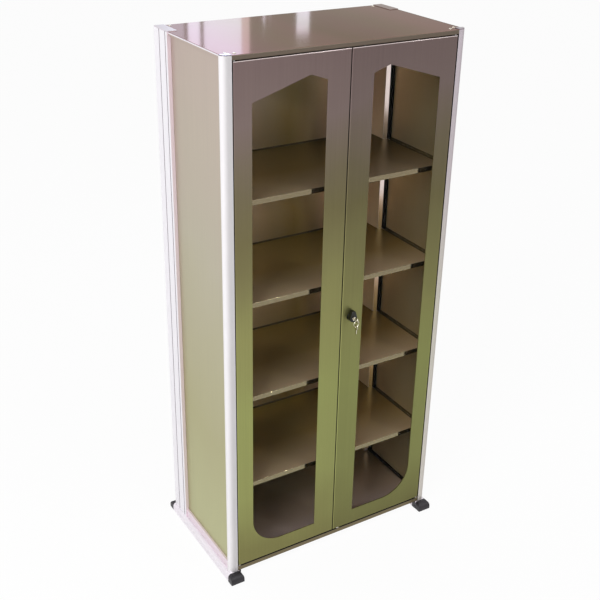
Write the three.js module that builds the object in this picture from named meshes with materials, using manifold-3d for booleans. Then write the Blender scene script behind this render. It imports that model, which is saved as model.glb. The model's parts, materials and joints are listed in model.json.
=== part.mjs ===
// A free-standing medical cabinet with two glazed pivot doors, in millimetres.
// +Z is up, the doors face -Y, and the origin is on the floor under the middle of the cabinet.

import * as THREE from 'three';
import { mergeVertices } from 'three/addons/utils/BufferGeometryUtils.js';
import Module from 'manifold-3d';

const wasm = await Module();
wasm.setup();

// Overall size
const overallWidth = 930; // across the foot rails
const overallDepth = 550; // over the foot caps
const overallHeight = 1970; // to the top of the post caps

// Clearances and cutting allowance
const seatGap = 0.3; // round a piece that sits in or beside another
const overcut = 1; // how far a cutting tool reaches past the face it opens, or a joined piece into its mate

// Foot rails and their caps
const footWidth = 54;
const footHeight = 33;
const footRound = 14; // upper edges
const footWall = 3;
const footOverhang = 10; // rail beyond the posts' outer face
const capLength = 30; // what a cap adds to the rail's end
const capNose = 24; // radius of the cap's rounded front
const capPlug = 14; // how far a cap reaches into the rail

// Front posts, rear columns and their end caps
const postWidth = 32;
const postDepth = 24;
const postRound = 20; // outer front corner
const postWall = 2.5;
const columnWidth = 37;
const columnDepth = 105;
const columnRound = 5; // outer rear corner
const columnWall = 3;
const columnGrooveCount = 2; // grooves down the outer face
const columnGrooveFirst = 43; // from the rear face to the first groove's middle
const columnGroovePitch = 46;
const columnGrooveWidth = 5;
const columnGrooveDepth = 3;
const endCapThickness = 3;
const endCapPlug = 10;

// Side panels, back panel and the rails along the side panels
const panelSheet = 1.5;
const panelInset = 15; // from the posts' outer face to the side panels' inner face
const panelBite = 7; // how far a panel reaches into a post or column
const backInset = 10; // from the columns' rear face to the back panel's inner face
const sideRailInset = 5; // from the posts' outer face
const sideRailWidth = 16;
const bottomRailHeight = 34;
const topRailHeight = 9.5;
const railBite = 6; // how far a panel reaches into a side rail

// Top sheet
const topSheet = 1.5;
const topSink = 2; // below the end caps' upper face
const topLip = 15; // height of the front and rear folds
const topBend = 3; // outside radius of the folds
const topOverhang = 1; // beyond the side rails

// Floor tray and shelves
const traySheet = 1.25;
const sillHeight = 20; // from the foot rails to the floor tray's upper face
const sillSetback = 2; // sill behind the doors' front
const shelfCount = 4;
const lowestShelf = 386; // floor to the lowest shelf's upper face
const shelfPitch = 368.5;
const shelfFold = 18; // height of a shelf's folded edges
const shelfSetback = 40; // front edge behind the doors' front
const shelfSideGap = 10; // to the side panels
const shelfRearGap = 3; // to the back panel and the columns
const bearerSheet = 2;
const bearerWidth = 24;
const bearerHeight = 16;
const bearerGap = 4; // to the side panels

// Doors
const doorThickness = 20;
const doorSkin = 1.25;
const doorFlange = 13; // folded in round the back
const doorMiddleGap = 3;
const doorSideGap = 3.5;
const doorTopGap = 4;
const doorBottomGap = 4;

// Windows, the same in both doors
const stileInner = 86.5; // door's inner edge to the window
const stileOuter = 62.5; // window to the door's outer edge
const windowBottomMargin = 64;
const windowTopMargin = 67; // from the peak to the door's top
const windowPeakOffset = 62; // from the window's inner edge
const windowInnerDrop = 21; // from the peak down to the inner shoulder
const windowOuterDrop = 64; // from the peak down to the outer shoulder
const windowRound = 120; // lower outer corner
const gasketThickness = 1.5;
const gasketReveal = 2; // gasket back from the window's edge
const glassThickness = 4;
const glassLap = 14; // glass beyond the window's edge
const glassFrameBar = 11.5; // width of the frame outside the glass
const glassFrameLip = 1.5; // thickness of the lip behind the glass
const glassFrameReveal = 4; // lip back from the window's edge

// Pivot hinges
const pivotInset = 6; // axis from the door's outer edge and from its front
const pivotPinRadius = 3;
const pivotBossLength = 23; // inside the door
const pivotBlockReach = 9; // block beyond the axis, inward and backward
const pivotBlockHeight = 13;
const pivotPinBite = 10; // top pin into its block
const pivotFootRise = 15; // bottom pin above its washer
const pivotWasherGap = 0.5; // washer to the door's lower edge

// Magnetic catch behind the left door
const catchWidth = 44;
const catchDepth = 20;
const catchHeight = 30;
const catchSetback = 25; // from the door's inner edge
const catchGap = 0.5; // to the door's back

// Lock on the right door
const lockHeight = 999; // floor to the spindle
const lockSetback = 37; // spindle from the door's inner edge
const rosetteRadius = 16;
const rosetteThickness = 3;
const leverBase = 15; // radius of the lever's round end
const leverTip = 9; // radius of its narrow end
const leverReach = 20; // between the two ends' middles
const leverDepth = 20;
const leverBevel = 3;
const leverSocket = 4; // spindle into the lever
const spindleRadius = 5;
const spindleTailRadius = 4;
const toothCount = 12;
const toothModule = 1.5;
const toothShare = 0.32; // tooth width in each pitch
const toothTipShare = 0.2;
const toothRise = 1.2; // above the pitch line
const toothDrop = 1.9; // below the pitch line
const pinionDepth = 8;
const pinionSetback = 4.5; // from the door's front
const rodWidth = 5;
const rodDepth = 6;
const rodGap = 0.5; // round a rod in its case and guides
const rodTip = 1.5; // rod beyond the door's edge when drawn in
const rackTeeth = 7;
const rackTeethAhead = 2; // of those, on the rod's far side of the spindle
const rackEnd = 2; // plain end below the last tooth
const boltHoleGap = 1.5; // round the lower rod in the floor tray
const caseWall = 1.5;
const caseHeight = 60;
const caseSetback = 3; // case inside the door's back

// Key cylinder, keys and ring
const cylinderRadius = 7;
const cylinderBite = 15; // into the lever
const cylinderProud = 1.5;
const keyThickness = 2.25;
const keyBladeHeight = 7;
const keyBladeLength = 19; // from the bow's edge to the tip
const keyBite = 15; // blade inside the cylinder
const keyBowRadius = 10;
const keyHoleRadius = 3.5;
const keyRingRadius = 11;
const keyRingWire = 0.9;

// Smoothness of round forms
const arcSteps = 4; // half the facets of an outline's rounded corner
const windowArcSteps = 10;
const roundSides = 24;
const pinSides = 16;
const ringSteps = 24;
const wireSides = 6;

// Planes that the pieces share
const outerX = overallWidth / 2 - footOverhang;
const frontY = capLength - overallDepth / 2;
const rearY = -frontY;
const postX = outerX - postWidth;
const postRearY = frontY + postDepth;
const columnX = outerX - columnWidth;
const columnFrontY = rearY - columnDepth;
const panelX = outerX - panelInset;
const backY = rearY - backInset;
const sideRailX = outerX - sideRailInset - sideRailWidth;
const sideLength = columnFrontY - postRearY;
const topZ = overallHeight - topSink;
const topUnderZ = topZ - topSheet;
const topRailZ = topUnderZ - topRailHeight;
const bottomRailZ = footHeight + bottomRailHeight;
const sillZ = footHeight + sillHeight;
const doorX = doorMiddleGap / 2;
const doorWidth = postX - doorSideGap - doorX;
const doorZ = sillZ + doorBottomGap;
const doorHeight = topZ - topLip - doorTopGap - doorZ;

// Places inside a door, from its inner lower front corner
const pivotX = doorWidth - pivotInset;
const lockZ = lockHeight - doorZ;
const glassFront = doorSkin + gasketThickness;
const glassBack = glassFront + glassThickness;

// Places along the lock's axis, from the door's front, and across it
const leverBack = -rosetteThickness - seatGap;
const leverFront = leverBack - leverDepth;
const cylinderFront = leverFront - cylinderProud;
const keyBowY = cylinderFront + keyBite - keyBladeLength - keyBowRadius;
const toothPitch = Math.PI * toothModule;
const pinionRadius = toothCount * toothModule / 2;
const rodNearX = pinionRadius + toothDrop;
const rodFarX = rodNearX + rodWidth;
const rodFrontY = pinionSetback + (pinionDepth - rodDepth) / 2;
const caseInnerX = rodFarX + rodGap;
const caseBack = doorThickness - caseSetback;

// Materials
function finish(colour, roughness, metalness) {
  return new THREE.MeshStandardMaterial({ color: colour, roughness, metalness, flatShading: true });
}

const brushedSteel = finish(0x8f8a72, 0.35, 0.9);
const insideSteel = finish(0x7d745e, 0.4, 0.9);
const aluminium = finish(0xe2dfe4, 0.3, 0.9);
const blackPlastic = finish(0x26242a, 0.45, 0);
const rubber = finish(0x1a1a1a, 0.8, 0);
const nickel = finish(0xc9c2ad, 0.25, 1);
const zincSteel = finish(0xa9aaab, 0.4, 0.9);
const glass = finish(0xcfd8cf, 0.05, 0);
glass.transparent = true;
glass.opacity = 0.25;

// Shape helpers

// Keeps only the positions of a geometry, with shared points merged.
function bare(geometry) {
  geometry.deleteAttribute('normal');
  geometry.deleteAttribute('uv');
  return mergeVertices(geometry);
}

function solidOf(geometry) {
  const vertProperties = geometry.attributes.position.array;
  const triVerts = new Uint32Array(geometry.index.array);
  return new wasm.Manifold(new wasm.Mesh({ numProp: 3, vertProperties, triVerts }));
}

function combine(operation, first, others) {
  const solid = others.reduce((sum, next) => sum[operation](solidOf(next)), solidOf(first));
  const { vertProperties, triVerts } = solid.getMesh();
  const geometry = new THREE.BufferGeometry();
  geometry.setAttribute('position', new THREE.BufferAttribute(vertProperties, 3));
  geometry.setIndex(new THREE.BufferAttribute(triVerts, 1));
  return geometry;
}

const join = (first, ...others) => combine('add', first, others);
const cut = (first, ...others) => combine('subtract', first, others);
const common = (first, ...others) => combine('intersect', first, others);

// A closed outline through corners [x, y, radius], each rounded where it has a radius.
function outline(corners) {
  const shape = new THREE.Shape();
  corners.forEach(([x, y, radius = 0], i) => {
    const corner = new THREE.Vector2(x, y);
    if (radius === 0) {
      shape[i === 0 ? 'moveTo' : 'lineTo'](x, y);
      return;
    }
    const [beforeX, beforeY] = corners.at(i - 1);
    const [afterX, afterY] = corners[(i + 1) % corners.length];
    const toBefore = new THREE.Vector2(beforeX, beforeY).sub(corner).normalize();
    const toAfter = new THREE.Vector2(afterX, afterY).sub(corner).normalize();
    const halfAngle = Math.acos(toBefore.dot(toAfter)) / 2;
    const inward = toBefore.clone().add(toAfter).normalize();
    const centre = corner.clone().addScaledVector(inward, radius / Math.sin(halfAngle));
    const reach = radius / Math.tan(halfAngle);
    const start = corner.clone().addScaledVector(toBefore, reach);
    const end = corner.clone().addScaledVector(toAfter, reach);
    const startAngle = start.clone().sub(centre).angle();
    const endAngle = end.clone().sub(centre).angle();
    const clockwise = toBefore.cross(toAfter) > 0;
    if (i > 0) shape.lineTo(start.x, start.y);
    shape.absarc(centre.x, centre.y, radius, startAngle, endAngle, clockwise);
  });
  return shape;
}

const X = new THREE.Vector3(1, 0, 0);
const Y = new THREE.Vector3(0, 1, 0);
const Z = new THREE.Vector3(0, 0, 1);
const drawnAcross = {
  x: new THREE.Matrix4().makeBasis(Y, Z, X),
  y: new THREE.Matrix4().makeBasis(X, Z, Y.clone().negate()),
  z: new THREE.Matrix4(),
};

// The solid of an outline drawn across an axis, between two places on that axis.
function prism(shape, axis, from, to, curveSegments = arcSteps) {
  const geometry = new THREE.ExtrudeGeometry(shape, { depth: to - from, bevelEnabled: false, curveSegments });
  geometry.translate(0, 0, axis === 'y' ? -to : from);
  return bare(geometry.applyMatrix4(drawnAcross[axis]));
}

function block([x0, x1], [y0, y1], [z0, z1]) {
  const geometry = new THREE.BoxGeometry(x1 - x0, y1 - y0, z1 - z0);
  return bare(geometry.translate((x0 + x1) / 2, (y0 + y1) / 2, (z0 + z1) / 2));
}

// A round bar along Y or Z through a point of the plane across it.
function bar(axis, radius, [u, v], from, to, sides = pinSides) {
  const geometry = new THREE.CylinderGeometry(radius, radius, to - from, sides);
  const middle = (from + to) / 2;
  if (axis === 'z') geometry.rotateX(Math.PI / 2).translate(u, v, middle);
  else geometry.translate(u, middle, v);
  return bare(geometry);
}

// A mirrored plan in three steps of half width: between the posts, between the panels, between the columns.
function steppedPlan({ halfWidths, edges }, inset = 0) {
  const [front, middle, rear] = halfWidths.map((half) => half - inset);
  const [frontEdge, postEdge, columnEdge, rearEdge] = edges;
  const nearEdge = frontEdge + inset;
  const wideEdge = postEdge + inset;
  const narrowEdge = columnEdge - inset;
  const farEdge = rearEdge - inset;
  const right = [
    [front, nearEdge],
    [front, wideEdge],
    [middle, wideEdge],
    [middle, narrowEdge],
    [rear, narrowEdge],
    [rear, farEdge],
  ];
  const left = right.map(([x, y]) => [-x, y]).reverse();
  return outline([...right, ...left]);
}

// A folded tray that is open below.
function foldedTray(plan, height) {
  const pocket = prism(steppedPlan(plan, traySheet), 'z', -overcut, height - traySheet);
  return cut(prism(steppedPlan(plan), 'z', 0, height), pocket);
}

// Scene graph helpers
const cabinet = new THREE.Group();

function place(parent, name, geometry, material, x = 0, y = 0, z = 0) {
  const mesh = new THREE.Mesh(geometry, material);
  mesh.name = name;
  mesh.position.set(x, y, z);
  parent.add(mesh);
  return mesh;
}

// A right-hand piece and its mirror image on the left.
function placePair(name, geometry, material, x, y, z) {
  place(cabinet, `${name}_right`, geometry, material, x, y, z);
  place(cabinet, `${name}_left`, geometry, material, -x, y, z).scale.x = -1;
}

// Foot rails, drawn across Y with their outer side at +X
function footSection(inset) {
  const half = footWidth / 2 - inset;
  const round = footRound - inset;
  const top = footHeight - inset;
  return outline([[-half, inset], [half, inset], [half, top, round], [-half, top, round]]);
}

function footRail() {
  const section = footSection(0);
  section.holes.push(footSection(footWall));
  return prism(section, 'y', frontY, rearY);
}

// A front cap, with the rail's end at y = 0.
function footCap() {
  const body = prism(footSection(0), 'y', -capLength, 0);
  const profile = outline([
    [overcut, -overcut],
    [overcut, footHeight],
    [-capLength, footHeight, capNose],
    [-capLength, -overcut],
  ]);
  const nose = common(body, prism(profile, 'x', -footWidth, footWidth));
  const plug = prism(footSection(footWall + seatGap), 'y', -overcut, capPlug);
  return join(nose, plug);
}

const footX = overallWidth / 2 - footWidth / 2;
placePair('foot_rail', footRail(), aluminium, footX, 0, 0);
const footCapShape = footCap();
placePair('foot_cap_front', footCapShape, blackPlastic, footX, frontY, 0);
const rearCapShape = footCapShape.clone().rotateZ(Math.PI);
placePair('foot_cap_rear', rearCapShape, blackPlastic, footX, rearY, 0);

// Front posts, from the inner face at x = 0 and the front at y = 0
const postGrooveX = postWidth - panelInset - seatGap;
const panelGrooveWidth = panelSheet + 2 * seatGap;
const postBore = [
  [postWall, postWall],
  [postGrooveX - postWall, postWall],
  [postGrooveX - postWall, postDepth - postWall],
  [postWall, postDepth - postWall],
];
const postOutside = [[0, 0], [postWidth, 0, postRound], [postWidth, postDepth]];

function postSection() {
  const grooveEnd = postGrooveX + panelGrooveWidth;
  const grooveFloor = postDepth - panelBite - seatGap;
  const section = outline([
    ...postOutside,
    [grooveEnd, postDepth],
    [grooveEnd, grooveFloor],
    [postGrooveX, grooveFloor],
    [postGrooveX, postDepth],
    [0, postDepth],
  ]);
  section.holes.push(outline(postBore));
  return section;
}

// An end cap with a plug for the bore below it, from its underside at z = 0.
function endCap(outside, bore) {
  const [[lowX, lowY], , [highX, highY]] = bore;
  const plate = prism(outline(outside), 'z', 0, endCapThickness);
  const plugX = [lowX + seatGap, highX - seatGap];
  const plugY = [lowY + seatGap, highY - seatGap];
  return join(plate, block(plugX, plugY, [-endCapPlug, overcut]));
}

const postTopZ = overallHeight - endCapThickness;
placePair('front_post', prism(postSection(), 'z', footHeight, postTopZ), aluminium, postX, frontY, 0);
const postCap = endCap([...postOutside, [0, postDepth]], postBore);
placePair('front_post_cap', postCap, aluminium, postX, frontY, postTopZ);

// Rear columns, from the inner face at x = 0 and the front face at y = 0
const columnGrooveX = columnWidth - panelInset - seatGap;
const backGrooveY = columnDepth - backInset - seatGap;
const columnBore = [
  [columnWall, panelBite + seatGap + columnWall],
  [columnWidth - columnGrooveDepth - columnWall, panelBite + seatGap + columnWall],
  [columnWidth - columnGrooveDepth - columnWall, backGrooveY - columnWall],
  [columnWall, backGrooveY - columnWall],
];
const columnRearCorners = [[columnWidth, columnDepth, columnRound], [0, columnDepth]];

function columnSection() {
  const grooveDepth = panelBite + seatGap;
  const panelGrooveEnd = columnGrooveX + panelGrooveWidth;
  const backGrooveEnd = backGrooveY + panelGrooveWidth;
  const outerGrooves = [];
  for (let i = columnGrooveCount - 1; i >= 0; i -= 1) {
    const middle = columnDepth - columnGrooveFirst - i * columnGroovePitch;
    const near = middle - columnGrooveWidth / 2;
    const far = middle + columnGrooveWidth / 2;
    const floor = columnWidth - columnGrooveDepth;
    outerGrooves.push([columnWidth, near], [floor, near], [floor, far], [columnWidth, far]);
  }
  const section = outline([
    [0, 0],
    [columnGrooveX, 0],
    [columnGrooveX, grooveDepth],
    [panelGrooveEnd, grooveDepth],
    [panelGrooveEnd, 0],
    [columnWidth, 0],
    ...outerGrooves,
    ...columnRearCorners,
    [0, backGrooveEnd],
    [grooveDepth, backGrooveEnd],
    [grooveDepth, backGrooveY],
    [0, backGrooveY],
  ]);
  section.holes.push(outline(columnBore));
  return section;
}

const columnShape = prism(columnSection(), 'z', footHeight, postTopZ);
placePair('rear_column', columnShape, aluminium, columnX, columnFrontY, 0);
const columnCap = endCap([[0, 0], [columnWidth, 0], ...columnRearCorners], columnBore);
placePair('rear_column_cap', columnCap, aluminium, columnX, columnFrontY, postTopZ);

// Rails along the side panels, from their inner face at x = 0
const railGrooveX = panelX - sideRailX - seatGap;
const railGroove = [railGrooveX, railGrooveX + panelGrooveWidth];
const railLength = [0, sideLength];
const railGrooveLength = [-overcut, sideLength + overcut];
const bottomRail = cut(
  block([0, sideRailWidth], railLength, [0, bottomRailHeight]),
  block(railGroove, railGrooveLength, [bottomRailHeight - railBite, bottomRailHeight + overcut]),
);
placePair('side_bottom_rail', bottomRail, aluminium, sideRailX, postRearY, footHeight);
const topRail = cut(
  block([0, sideRailWidth], railLength, [0, topRailHeight]),
  block(railGroove, railGrooveLength, [-overcut, railBite + seatGap]),
);
placePair('side_top_rail', topRail, aluminium, sideRailX, postRearY, topRailZ);

// Side panels and back panel
const sidePanel = block(
  [0, panelSheet],
  [-panelBite, sideLength + panelBite],
  [bottomRailZ - railBite, topRailZ + railBite],
);
placePair('side_panel', sidePanel, brushedSteel, panelX, postRearY, 0);
const backHalf = columnX + panelBite;
const backPanel = block([-backHalf, backHalf], [0, panelSheet], [footHeight, topUnderZ - seatGap]);
place(cabinet, 'back_panel', backPanel, insideSteel, 0, backY, 0);

// Top sheet, with its front and rear edges folded down
function topPanel() {
  const halfFront = postX - seatGap;
  const halfRear = columnX - seatGap;
  const plan = {
    halfWidths: [halfFront, sideRailX + sideRailWidth + topOverhang, halfRear],
    edges: [frontY + topBend, postRearY + seatGap, columnFrontY - seatGap, rearY - topBend],
  };
  const lipProfile = (edge, inward) => outline([
    [edge, topZ - topLip],
    [edge + inward * topSheet, topZ - topLip],
    [edge + inward * topSheet, topUnderZ],
    [edge + inward * (topBend + overcut), topUnderZ],
    [edge + inward * (topBend + overcut), topZ],
    [edge, topZ, topBend],
  ]);
  const frontLip = prism(lipProfile(frontY, 1), 'x', -halfFront, halfFront);
  const rearLip = prism(lipProfile(rearY, -1), 'x', -halfRear, halfRear);
  return join(prism(steppedPlan(plan), 'z', topUnderZ, topZ), frontLip, rearLip);
}

place(cabinet, 'top_panel', topPanel(), brushedSteel);

// Floor tray, with a hole for the lower lock rod
function floorTray() {
  const plan = {
    halfWidths: [postX - seatGap, sideRailX - seatGap, columnX - seatGap],
    edges: [frontY + sillSetback, postRearY + seatGap, columnFrontY - seatGap, backY - seatGap],
  };
  const rodX = doorX + lockSetback - rodFarX;
  const rodY = frontY + rodFrontY;
  const boltHole = block(
    [rodX - boltHoleGap, rodX + rodWidth + boltHoleGap],
    [rodY - boltHoleGap, rodY + rodDepth + boltHoleGap],
    [-overcut, sillHeight + overcut],
  );
  return cut(foldedTray(plan, sillHeight), boltHole);
}

place(cabinet, 'floor_tray', floorTray(), brushedSteel, 0, 0, footHeight);

// Shelves and the bearers under their sides, numbered from the lowest
const shelfHalf = panelX - shelfSideGap;
const shelfPlan = {
  halfWidths: [shelfHalf, shelfHalf, columnX - shelfRearGap],
  edges: [frontY + shelfSetback, postRearY + shelfSetback, columnFrontY - shelfRearGap, backY - shelfRearGap],
};
const shelfShape = foldedTray(shelfPlan, shelfFold);
const bearerSection = outline([
  [0, 0],
  [bearerWidth, 0],
  [bearerWidth, bearerHeight],
  [bearerWidth - bearerSheet, bearerHeight],
  [bearerWidth - bearerSheet, bearerSheet],
  [0, bearerSheet],
]);
const bearerShape = prism(bearerSection, 'y', postRearY, columnFrontY);
const bearerX = panelX - bearerGap - bearerWidth;
for (let i = 0; i < shelfCount; i += 1) {
  const underside = lowestShelf + i * shelfPitch - shelfFold;
  place(cabinet, `shelf_${i + 1}`, shelfShape, insideSteel, 0, 0, underside);
  placePair(`shelf_bearer_${i + 1}`, bearerShape, insideSteel, bearerX, 0, underside - bearerSheet);
}

// Fixed halves of the pivot hinges
const pivotWorldX = doorX + pivotX;
const pivotWorldY = frontY + pivotInset;
const pivotBlockZ = topUnderZ - pivotBlockHeight;
const pivotBoreRadius = pivotPinRadius + seatGap;
const pivotBlock = cut(
  block(
    [-pivotBlockReach, postX - seatGap - pivotWorldX],
    [topSheet + seatGap - pivotInset, pivotBlockReach],
    [0, pivotBlockHeight],
  ),
  bar('z', pivotBoreRadius, [0, 0], -overcut, pivotBlockHeight + overcut),
);
placePair('pivot_block', pivotBlock, zincSteel, pivotWorldX, pivotWorldY, pivotBlockZ);
const washerRise = doorBottomGap - pivotWasherGap;
const pivotFoot = join(
  bar('z', pivotInset - sillSetback, [0, 0], 0, washerRise),
  bar('z', pivotPinRadius, [0, 0], washerRise - overcut, washerRise + pivotFootRise),
);
placePair('pivot_foot', pivotFoot, zincSteel, pivotWorldX, pivotWorldY, sillZ);

// Magnetic catch under the top sheet
const catchShape = block([0, catchWidth], [0, catchDepth], [0, catchHeight]);
const catchX = -doorX - catchSetback - catchWidth;
place(cabinet, 'door_catch', catchShape, blackPlastic, catchX, frontY + doorThickness + catchGap,
  topUnderZ - catchHeight);

// Doors, drawn for the right side from the door's inner lower front corner
const windowCorners = [
  [stileInner, windowBottomMargin],
  [doorWidth - stileOuter, windowBottomMargin, windowRound],
  [doorWidth - stileOuter, doorHeight - windowTopMargin - windowOuterDrop],
  [stileInner + windowPeakOffset, doorHeight - windowTopMargin],
  [stileInner, doorHeight - windowTopMargin - windowInnerDrop],
];

// The window's outline, moved outward by a distance all round.
function windowOutline(distance) {
  const outward = windowCorners.map(([x, z], i) => {
    const [nextX, nextZ] = windowCorners[(i + 1) % windowCorners.length];
    return new THREE.Vector2(nextZ - z, x - nextX).normalize();
  });
  return outline(windowCorners.map(([x, z, radius], i) => {
    const before = outward.at(i - 1);
    const after = outward[i];
    const mitre = before.clone().add(after).multiplyScalar(distance / (1 + before.dot(after)));
    return [x + mitre.x, z + mitre.y, radius ? radius + distance : 0];
  }));
}

function windowRing(outer, inner, from, to) {
  const section = windowOutline(outer);
  section.holes.push(windowOutline(inner));
  return prism(section, 'y', from, to, windowArcSteps);
}

function windowPane(distance, from, to) {
  return prism(windowOutline(distance), 'y', from, to, windowArcSteps);
}

// A rod's hole through a door's folded edge.
function rodHole(nearX, from, to) {
  const x = [nearX - rodGap, nearX + rodWidth + rodGap];
  return block(x, [rodFrontY - rodGap, rodFrontY + rodDepth + rodGap], [from, to]);
}

function doorPan(tools) {
  const backZ = [doorFlange, doorHeight - doorFlange];
  const lowEdge = [-overcut, doorSkin + overcut];
  const highEdge = [doorHeight - doorSkin - overcut, doorHeight + overcut];
  return cut(
    block([0, doorWidth], [0, doorThickness], [0, doorHeight]),
    block(
      [doorSkin, doorWidth - doorSkin],
      [doorSkin, doorThickness - doorSkin],
      [doorSkin, doorHeight - doorSkin],
    ),
    block(
      [doorFlange, doorWidth - doorFlange],
      [doorThickness - doorSkin - overcut, doorThickness + overcut],
      backZ,
    ),
    windowPane(0, -overcut, doorSkin + overcut),
    bar('z', pivotBoreRadius, [pivotX, pivotInset], ...lowEdge),
    bar('z', pivotBoreRadius, [pivotX, pivotInset], ...highEdge),
    ...tools(lowEdge, highEdge),
  );
}

function lockHoles(lowEdge, highEdge) {
  return [
    bar('y', spindleRadius + seatGap, [lockSetback, lockZ], -overcut, doorSkin + overcut),
    rodHole(lockSetback - rodFarX, ...lowEdge),
    rodHole(lockSetback + rodNearX, ...highEdge),
  ];
}

function glazingFrame() {
  const pocket = glassLap + seatGap;
  const frameBack = glassBack + glassFrameLip;
  const ring = windowRing(pocket + glassFrameBar, glassFrameReveal, doorSkin, frameBack);
  return cut(ring, windowPane(pocket, doorSkin - overcut, glassBack));
}

// A pin that stands out of the door's top edge, on a boss under that edge.
function pivotPin() {
  const bossRadius = pivotInset - doorSkin - seatGap;
  const bossTop = doorHeight - doorSkin;
  const pinTop = pivotBlockZ + pivotPinBite - doorZ;
  return join(
    bar('z', bossRadius, [pivotX, pivotInset], bossTop - pivotBossLength, bossTop),
    bar('z', pivotPinRadius, [pivotX, pivotInset], bossTop - overcut, pinTop),
  );
}

function addDoor(side, mirror, skin) {
  const door = new THREE.Group();
  door.position.set(mirror * doorX, frontY, doorZ);
  door.scale.x = mirror;
  const gasket = windowRing(glassLap, gasketReveal, doorSkin, glassFront);
  place(door, `door_skin_${side}`, skin, brushedSteel);
  place(door, `window_gasket_${side}`, gasket, rubber);
  place(door, `window_glass_${side}`, windowPane(glassLap, glassFront, glassBack), glass);
  place(door, `window_frame_${side}`, glazingFrame(), brushedSteel);
  place(door, `pivot_pin_${side}`, pivotPin(), zincSteel);
  cabinet.add(door);
  return door;
}

addDoor('left', -1, doorPan(() => []));
const rightDoor = addDoor('right', 1, doorPan(lockHoles));

// Lock, drawn round its spindle's axis from the door's front
const lock = new THREE.Group();
lock.position.set(lockSetback, 0, lockZ);
rightDoor.add(lock);
const axis = [0, 0];

const rosette = cut(
  bar('y', rosetteRadius, axis, -rosetteThickness, 0, roundSides),
  bar('y', spindleRadius + seatGap, axis, -rosetteThickness - overcut, overcut),
);
place(lock, 'lock_rosette', rosette, blackPlastic);

// A teardrop with its round end on the axis and its narrow end up.
function leverShape() {
  const slope = Math.asin((leverBase - leverTip) / leverReach);
  const shape = new THREE.Shape();
  shape.absarc(0, leverReach, leverTip, slope, Math.PI - slope, false);
  shape.absarc(0, 0, leverBase, Math.PI - slope, 2 * Math.PI + slope, false);
  const body = new THREE.ExtrudeGeometry(shape, {
    depth: leverDepth - 2 * leverBevel,
    bevelThickness: leverBevel,
    bevelSize: leverBevel,
    bevelOffset: -leverBevel,
    bevelSegments: 2,
    curveSegments: roundSides / 4,
  });
  body.translate(0, 0, leverBevel - leverBack).applyMatrix4(drawnAcross.y);
  return cut(
    bare(body),
    bar('y', cylinderRadius + seatGap, axis, leverFront - overcut, leverFront + cylinderBite, roundSides),
    bar('y', spindleRadius + seatGap, axis, leverBack - leverSocket, leverBack + overcut),
  );
}

place(lock, 'lock_lever', leverShape(), blackPlastic);

// A spindle with a pinion whose teeth turn the two racks.
function spindle() {
  const shape = new THREE.Shape();
  const rootAngle = toothShare * Math.PI / toothCount;
  const tipAngle = toothTipShare * Math.PI / toothCount;
  for (let i = 0; i < toothCount; i += 1) {
    const middle = i / toothCount * 2 * Math.PI;
    const corners = [
      [pinionRadius - toothDrop, middle - rootAngle],
      [pinionRadius + toothRise, middle - tipAngle],
      [pinionRadius + toothRise, middle + tipAngle],
      [pinionRadius - toothDrop, middle + rootAngle],
    ];
    corners.forEach(([radius, angle], j) => {
      const move = i + j === 0 ? 'moveTo' : 'lineTo';
      shape[move](radius * Math.cos(angle), radius * Math.sin(angle));
    });
  }
  const pinionBack = pinionSetback + pinionDepth;
  return join(
    prism(shape, 'y', pinionSetback, pinionBack),
    bar('y', spindleRadius, axis, leverBack - leverSocket + seatGap, pinionSetback + overcut),
    bar('y', spindleTailRadius, axis, pinionBack - overcut, caseBack),
  );
}

place(lock, 'lock_spindle', spindle(), zincSteel);

const lockCase = cut(
  block([-caseInnerX - caseWall, caseInnerX + caseWall], [doorSkin, caseBack], [-caseHeight / 2, caseHeight / 2]),
  block([-caseInnerX, caseInnerX], [0, caseBack - caseWall], [-caseHeight, caseHeight]),
  bar('y', spindleTailRadius + seatGap, axis, 0, caseBack + overcut),
);
place(lock, 'lock_case', lockCase, zincSteel);

// A rod that runs up from its rack, with the rack's teeth towards the spindle.
function rackRod(top) {
  const lowest = -(rackTeeth - rackTeethAhead) * toothPitch;
  const corners = [[rodNearX, lowest - rackEnd], [rodFarX, lowest - rackEnd], [rodFarX, top], [rodNearX, top]];
  const crest = pinionRadius - toothRise;
  for (let i = rackTeeth - 1; i >= 0; i -= 1) {
    const middle = lowest + (i + 0.5) * toothPitch;
    const root = toothShare * toothPitch / 2;
    const tip = toothTipShare * toothPitch / 2;
    corners.push(
      [rodNearX, middle + root],
      [crest, middle + tip],
      [crest, middle - tip],
      [rodNearX, middle - root],
    );
  }
  return prism(outline(corners), 'y', rodFrontY, rodFrontY + rodDepth);
}

place(lock, 'upper_lock_rod', rackRod(doorHeight - lockZ + rodTip), zincSteel);
place(lock, 'lower_lock_rod', rackRod(lockZ + rodTip).rotateY(Math.PI), zincSteel);

const keywayX = keyThickness / 2 + seatGap;
const keywayZ = keyBladeHeight / 2 + seatGap;
const keywayEnd = cylinderFront + keyBite + seatGap;
const cylinder = cut(
  bar('y', cylinderRadius, axis, cylinderFront, leverFront + cylinderBite - seatGap, roundSides),
  block([-keywayX, keywayX], [cylinderFront - overcut, keywayEnd], [-keywayZ, keywayZ]),
);
place(lock, 'key_cylinder', cylinder, nickel);

// A key in the plane across X, with its bow round the origin and its blade towards +Y.
function keyShape() {
  const half = keyBladeHeight / 2;
  const neck = Math.asin(half / keyBowRadius);
  const tip = keyBowRadius + keyBladeLength;
  const shape = new THREE.Shape();
  shape.absarc(0, 0, keyBowRadius, neck, 2 * Math.PI - neck, false);
  shape.lineTo(tip - half, -half);
  shape.lineTo(tip, 0);
  shape.lineTo(tip - half, half);
  const hole = new THREE.Path();
  hole.absarc(0, 0, keyHoleRadius, 0, 2 * Math.PI, true);
  shape.holes.push(hole);
  return prism(shape, 'x', -keyThickness / 2, keyThickness / 2, roundSides / 4);
}

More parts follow.
